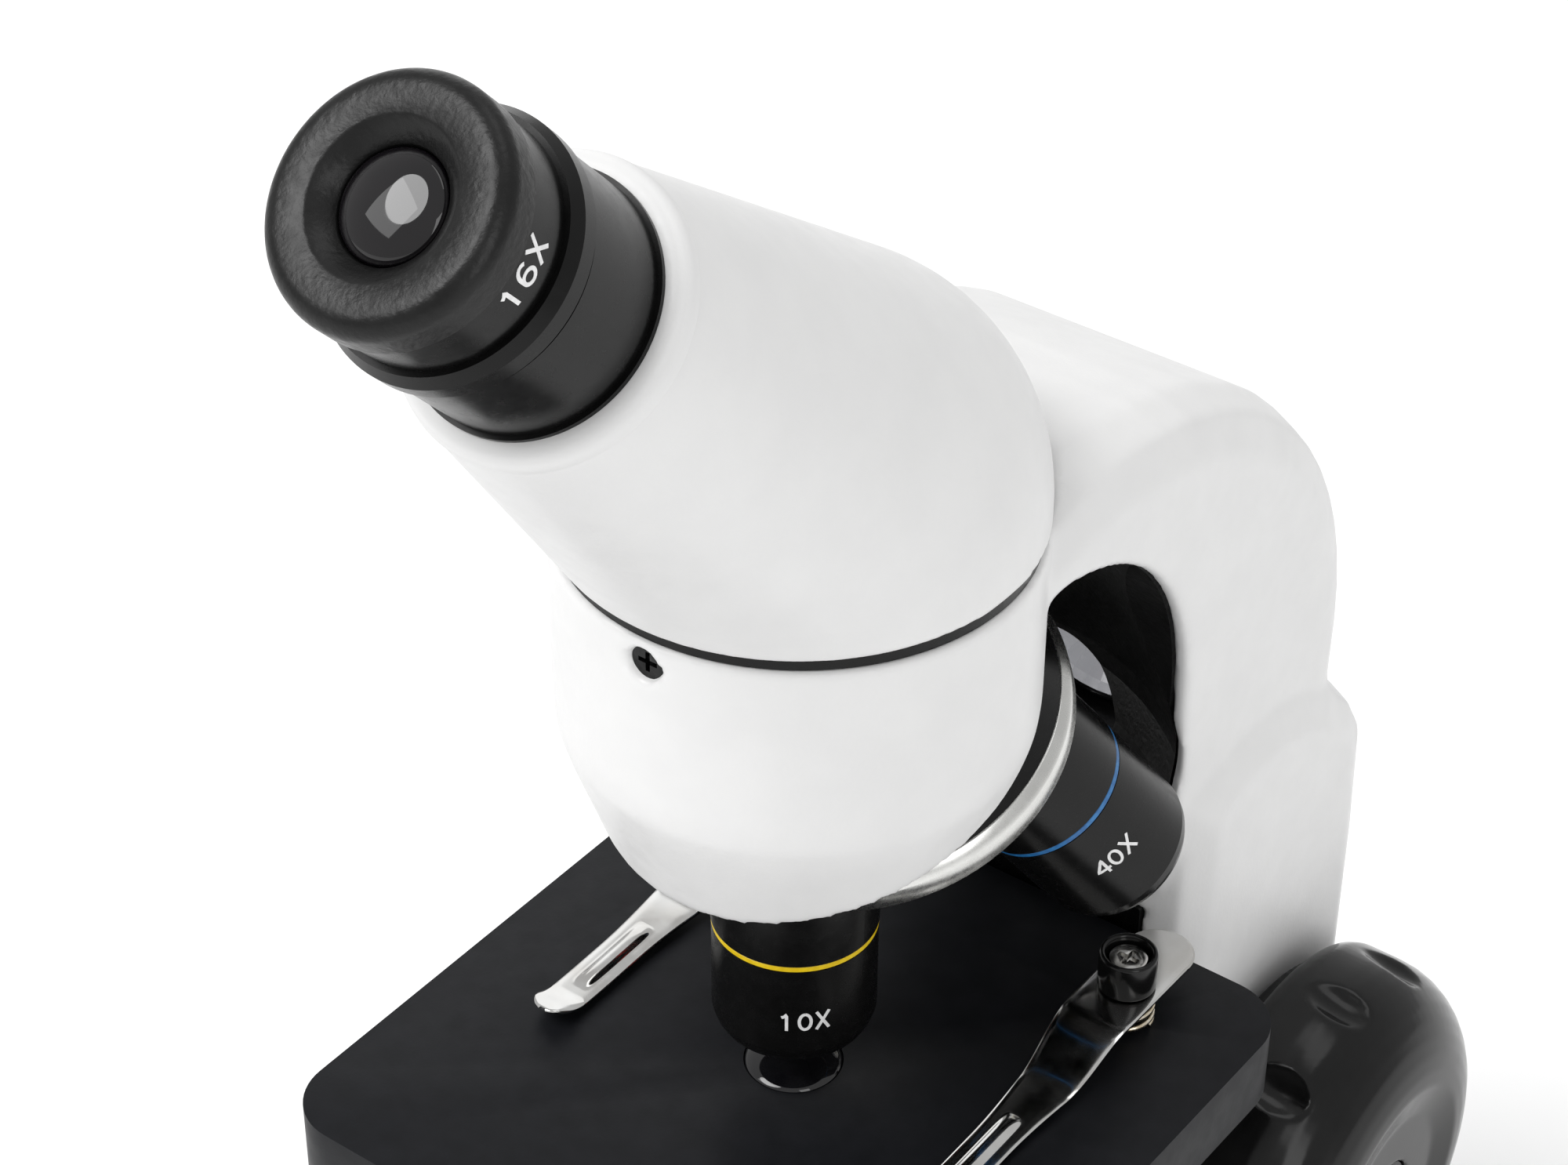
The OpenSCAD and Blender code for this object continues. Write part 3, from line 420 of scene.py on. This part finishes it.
# Where each number is printed: direction round the barrel and height in mm
PRINTED = {"10": (-46, -61.0), "40": (-145, -60.0), "4": (-100, -55.0)}
for index, number, colour in ((0, "10", yellow), (1, "40", blue), (2, "4", red)):
    spot = objective_place(index)
    label = number + "x"
    lathe("band_" + label,
          [(BARREL - 0.6, -GROOVE - 0.4), (BARREL - 0.08, -GROOVE - 0.4),
           (BARREL + 0.02, -GROOVE - 0.3), (BARREL + 0.02, -GROOVE + 0.3),
           (BARREL - 0.08, -GROOVE + 0.4), (BARREL - 0.6, -GROOVE + 0.4)],
          spot, colour, "turret")
    direction, height = PRINTED[number]
    printed_number("magnification_" + label, number + "X", 2.75, BARREL, height,
                   math.radians(direction), spot, "turret")

# ---------- eyepiece ----------

CUP_R, CUP_FACE, CUP_EDGE = 13.0, 90.8, 2.1
CUP_ARC = [(CUP_R - CUP_EDGE + CUP_EDGE * math.cos(a), CUP_FACE - CUP_EDGE + CUP_EDGE * math.sin(a))
           for a in quarter(10)]
lathe("eyecup_soft", [(9.5, 86.6), (9.5, 86.05), (CUP_R, 86.05)] + CUP_ARC
      + [(8.2, CUP_FACE), (7.85, CUP_FACE - 0.15), (5.95, 88.9), (5.8, 88.5), (5.8, 86.6)],
      TUBE_PLACE, black_plastic, "eyepiece", ["eyecup"], segments=192)
DOME_R = 5.75
lathe("eye_lens_dome", [(DOME_R * math.sin(a), 88.3 + 1.9 * math.cos(a))
                        for a in quarter(20)]
      + [(DOME_R, 87.2), (0, 87.2)],
      TUBE_PLACE, eye_glass, "eyepiece", closed=False)
printed_number("eyepiece_number", "16X", 3.1, 12.6, 83.6, math.radians(-2), TUBE_PLACE,
               "eyepiece")


# ---------- clips ----------

# The strip runs from its round tail behind the post to its turned-up tip, in mm
CLIP_TAIL, CLIP_LENGTH, CLIP_INSET, CLIP_ROWS = 12, 57, 0.04, 180
POST_HOLE = 2.3


def clip_profile(t):
    """Height and half width in mm of the clip's middle line at distance t from the post."""
    def smooth(a, b, x):
        x = min(1, max(0, (x - a) / (b - a)))
        return x * x * (3 - 2 * x)
    height = 5.2 - 3.75 * smooth(-6.5, -18.5, t) - 0.4 * smooth(-18, -38, t)
    height += 1.5 * smooth(-39.5, -45, t)
    if t > 0:
        half = 4.45 if t < 7.5 else math.sqrt(max(0.0, 4.5 ** 2 - (t - 7.5) ** 2))
    else:
        half = 4.45 - 1.75 * smooth(-4, -30, t)
        if t < -42.3:
            half = math.sqrt(max(0.0, 2.7 ** 2 - (t + 42.3) ** 2))
    return height, half


def clip_mesh(name, side):
    bm = bmesh.new()
    along = [CLIP_TAIL - CLIP_INSET - k * (CLIP_LENGTH - 2 * CLIP_INSET) / CLIP_ROWS
             for k in range(CLIP_ROWS + 1)]
    across = [-1 + k / 14 for k in range(29)]
    grid = []
    for t in along:
        z, half = clip_profile(t)
        row = []
        for s in across:
            x = s * half
            rib = math.exp(-((x / 0.95) ** 4)) * 0.5
            rib *= max(0.0, 1 - ((t + 31) / 6.8) ** 6)
            edge = -0.12 * abs(s) ** 10
            row.append(bm.verts.new((x * MM, t * MM, (z + rib + edge) * MM)))
        grid.append(row)
    for a, b in zip(grid, grid[1:]):
        for k in range(len(across) - 1):
            middle = (a[k].co + b[k + 1].co) / 2
            if middle.xy.length > POST_HOLE * MM:
                bm.faces.new((a[k], a[k + 1], b[k + 1], b[k]))
    bmesh.ops.remove_doubles(bm, verts=bm.verts, dist=1e-6)
    loose = [v for v in bm.verts if not v.link_faces]
    bmesh.ops.delete(bm, geom=loose, context="VERTS")
    return placed_mesh(name, bm,
                       Matrix.Translation(AXIS + Vector((side * POST.x, POST.y, 0))))


for side, word in ((1, "right"), (-1, "left")):
    strip = link("clip_strip_" + word, clip_mesh("clip_strip_" + word, side), chrome,
                 "clip_" + word[0], ["clip_" + word])
    thick = strip.modifiers.new("thickness", "SOLIDIFY")
    thick.thickness = 0.5 * MM
    thick.offset = 0
    soften = strip.modifiers.new("edge", "BEVEL")
    soften.width = 0.12 * MM
    soften.segments = 2
    soften.angle_limit = math.radians(50)

# Round-wire coils under the clips, with flat end turns
COIL_R, COIL_WIRE, COIL_TURNS, COIL_POINTS = 3.45, 0.38, 3.6, 150
COIL_FOOT, COIL_LIFT, COIL_FLAT, COIL_CLIMB = 0.5, 3.9, 0.12, 0.76
for side, word in ((1, "right"), (-1, "left")):
    curve = bpy.data.curves.new("coil_" + word, "CURVE")
    curve.dimensions = "3D"
    curve.bevel_depth = COIL_WIRE * MM
    curve.bevel_resolution = 4
    spline = curve.splines.new("POLY")
    spline.points.add(COIL_POINTS - 1)
    for k in range(COIL_POINTS):
        f = k / (COIL_POINTS - 1)
        a = f * 2 * math.pi * COIL_TURNS
        lift = COIL_FOOT + COIL_LIFT * min(1, max(0, (f - COIL_FLAT) / COIL_CLIMB))
        spline.points[k].co = (side * POST.x + COIL_R * MM * math.cos(a),
                               AXIS_Y + POST.y + COIL_R * MM * math.sin(a),
                               STAGE_Z + lift * MM, 1)
    coils = bpy.data.objects.new("clip_coil_" + word, curve)
    bpy.context.scene.collection.objects.link(coils)
    curve.materials.append(spring_steel.m)
    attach(coils, "stage")
    if side == 1:
        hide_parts("clip_springs")


# ---------- condenser ----------

ON_STAGE = Matrix.Translation(AXIS)
LENS_R = 6.12
DOME = [(LENS_R * math.sin(a), 1.7 * math.cos(a) - 0.35)
        for a in quarter(16)]
lathe("condenser_dome", DOME + [(LENS_R, -4), (0, -4)], ON_STAGE, stage_glass, "stage",
      ["condenser_lens"], closed=False)


# ---------- upper lamp ----------

LAMP_PLACE = (Matrix.Translation(AXIS + Vector((0, 65 * MM, 26 * MM)))
              @ Matrix.Rotation(math.radians(111), 4, "X"))
lathe("lamp_bezel", [(9.7, -3), (9.7, 1.5), (9.9, 2.0), (10.3, 2.1), (10.7, 1.8), (10.8, 1.2),
                     (10.8, -3)],
      LAMP_PLACE, black_gloss, "stand", ["upper_lamp_housing"])
# A bowl in flat facets, between the LED's hole and the bezel
BOWL = [(2.7 + 6.9 * math.sqrt(k / 12), -8 + 9.7 * k / 12) for k in range(13)]
bowl = lathe("lamp_bowl", BOWL + [(9.68, 1.6), (9.68, 1.2), (2.7, -8.3)], LAMP_PLACE, reflector,
             "stand", ["upper_reflector"], segments=28)
bowl.modifiers["creases"].split_angle = math.radians(4)


# ---------- turned parts ----------

RING_R = 25.8
lathe("grip_ring", [(23.9, -30.1), (24.4, -30.03), (RING_R - 1.1, -30.03),
                    (RING_R - 0.95, -30.1), (RING_R - 0.05, -31.45), (RING_R, -31.65),
                    (RING_R, -34.3), (RING_R - 0.25, -34.65), (23.9, -34.7)],
      Matrix.Translation(TURRET) @ Matrix.Rotation(TURRET_TILT, 4, "X"), turned, "turret",
      ["turret_ring"], segments=256)
lathe("tube_lip", [(13.58, 59.0), (13.58, 61.75), (13.85, 62.05), (14.5, 62.1), (15.3, 61.9),
                   (16.0, 61.3), (16.35, 60.3), (16.3, 59.0)],
      TUBE_PLACE, white, "head")


# ---------- floor, lights and camera ----------

def world_and_floor():
    world = bpy.data.worlds.new("studio")
    bpy.context.scene.world = world
    world.use_nodes = True
    world.node_tree.nodes["Background"].inputs["Color"].default_value = (1, 1, 1, 1)
    world.node_tree.nodes["Background"].inputs["Strength"].default_value = 0.6
    mesh = bpy.data.meshes.new("floor")
    half = 6
    corners = [(-half, -half, 0), (half, -half, 0), (half, half, 0), (-half, half, 0)]
    mesh.from_pydata(corners, [], [(0, 1, 2, 3)])
    floor = bpy.data.objects.new("floor", mesh)
    bpy.context.scene.collection.objects.link(floor)
    m = Mat("floor", shade(0.95), 0.6)
    m.tint(400, shade(0.93), shade(0.96)).gloss(60, 0.55, 0.65).bump(30, 0.02, 0.1)
    mesh.materials.append(m.m)


def area(name, at, aim, size, power, color=(1, 1, 1)):
    data = bpy.data.lights.new(name, "AREA")
    data.shape = "RECTANGLE"
    data.size, data.size_y = size
    data.energy = power
    data.color = color
    o = bpy.data.objects.new(name, data)
    bpy.context.scene.collection.objects.link(o)
    o.location = at
    o.rotation_mode = "QUATERNION"
    o.rotation_quaternion = (Vector(aim) - Vector(at)).to_track_quat("-Z", "Y")


bpy.context.scene.view_settings.view_transform = "Standard"
world_and_floor()
HEART = (0, 0, 0.18)
area("key", (-0.55, -0.75, 1.05), HEART, (0.6, 0.6), 2.2)
area("fill", (0.95, -0.5, 0.75), HEART, (0.4, 0.8), 2.2)
area("top", (0.1, 0.35, 1.3), HEART, (0.7, 0.4), 1.2)
area("rim", (-0.7, 0.75, 0.5), HEART, (0.5, 0.9), 1)

# Broad daylight from above the user's left shoulder
sun = bpy.data.lights.new("sun", "SUN")
sun.energy = 1.7
sun.angle = math.radians(35)
sunlight = bpy.data.objects.new("sun", sun)
bpy.context.scene.collection.objects.link(sunlight)
sunlight.rotation_euler = (math.radians(28), math.radians(-22), 0)

camera = bpy.data.cameras.new("camera")
camera.lens = 85.35
camera.sensor_width = 36
camera.clip_start = 0.01
camera.clip_end = 20
eye = bpy.data.objects.new("camera", camera)
bpy.context.scene.collection.objects.link(eye)
YAW, PITCH, ROLL = math.radians(36.60), math.radians(36.04), math.radians(0.45)
forward = Vector((-math.sin(YAW) * math.cos(PITCH), math.cos(YAW) * math.cos(PITCH),
                  -math.sin(PITCH)))
right0 = Vector((math.cos(YAW), math.sin(YAW), 0))
up0 = right0.cross(forward)
right = right0 * math.cos(ROLL) + up0 * math.sin(ROLL)
up = -right0 * math.sin(ROLL) + up0 * math.cos(ROLL)
turn = Matrix((right, up, -forward)).transposed().to_4x4()
eye.matrix_world = Matrix.Translation(AXIS + Vector((0.19955, -0.27143, 0.31777))) @ turn
bpy.context.scene.camera = eye

bpy.context.view_layer.update()
